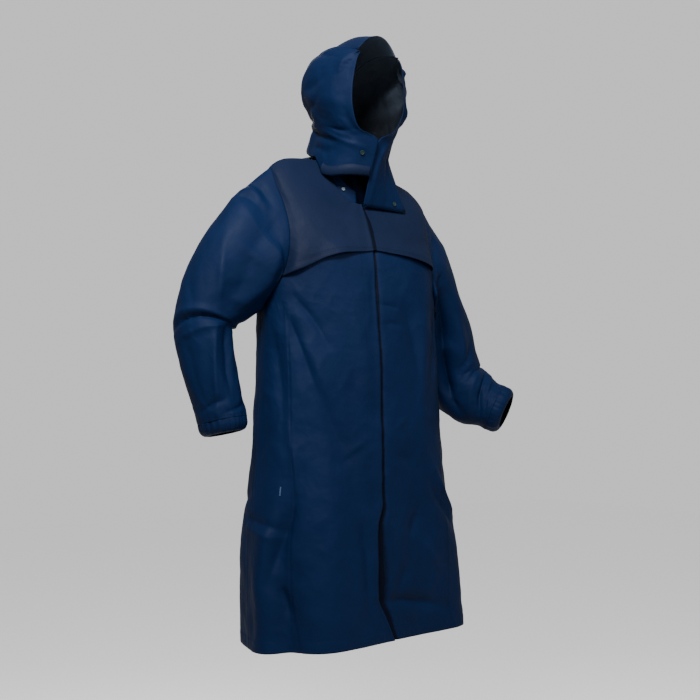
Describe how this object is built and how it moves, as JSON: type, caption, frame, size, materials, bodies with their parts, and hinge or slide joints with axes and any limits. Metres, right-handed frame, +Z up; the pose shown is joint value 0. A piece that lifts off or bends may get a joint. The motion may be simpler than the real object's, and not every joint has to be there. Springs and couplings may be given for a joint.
{
  "type": "rain poncho",
  "caption": "Long hooded rain poncho cut as a sleeved raincoat, filled out as worn, with yoke flaps, gathered cuffs and a snap throat.",
  "frame": {"origin": "neck base of the wearer, midway between the shoulders", "axes": "+Z up the body, -Y out of the front, +X towards the wearer's left side"},
  "size_m": [0.911, 0.312, 1.3961],
  "materials": {
    "shell_cloth": "coated nylon, soft sheen",
    "shoulder_cloth": "coated nylon, soft sheen",
    "stud": "satin"
  },
  "bodies": {
    "root": {"back": "shell_cloth", "front_right": "shell_cloth", "front_left": "shell_cloth", "yoke_right": "shoulder_cloth", "yoke_left": "shoulder_cloth", "sleeve_right": "shell_cloth", "sleeve_left": "shell_cloth", "cuff_right": "shell_cloth", "cuff_left": "shell_cloth", "collar": "shell_cloth", "hood_right": "shell_cloth", "hood_left": "shell_cloth", "hood_crown": "shell_cloth", "hood_hem_right": "shell_cloth", "snap_throat": "stud", "snap_flap": "stud", "snap_collar": "stud"}
  },
  "joints": []
}
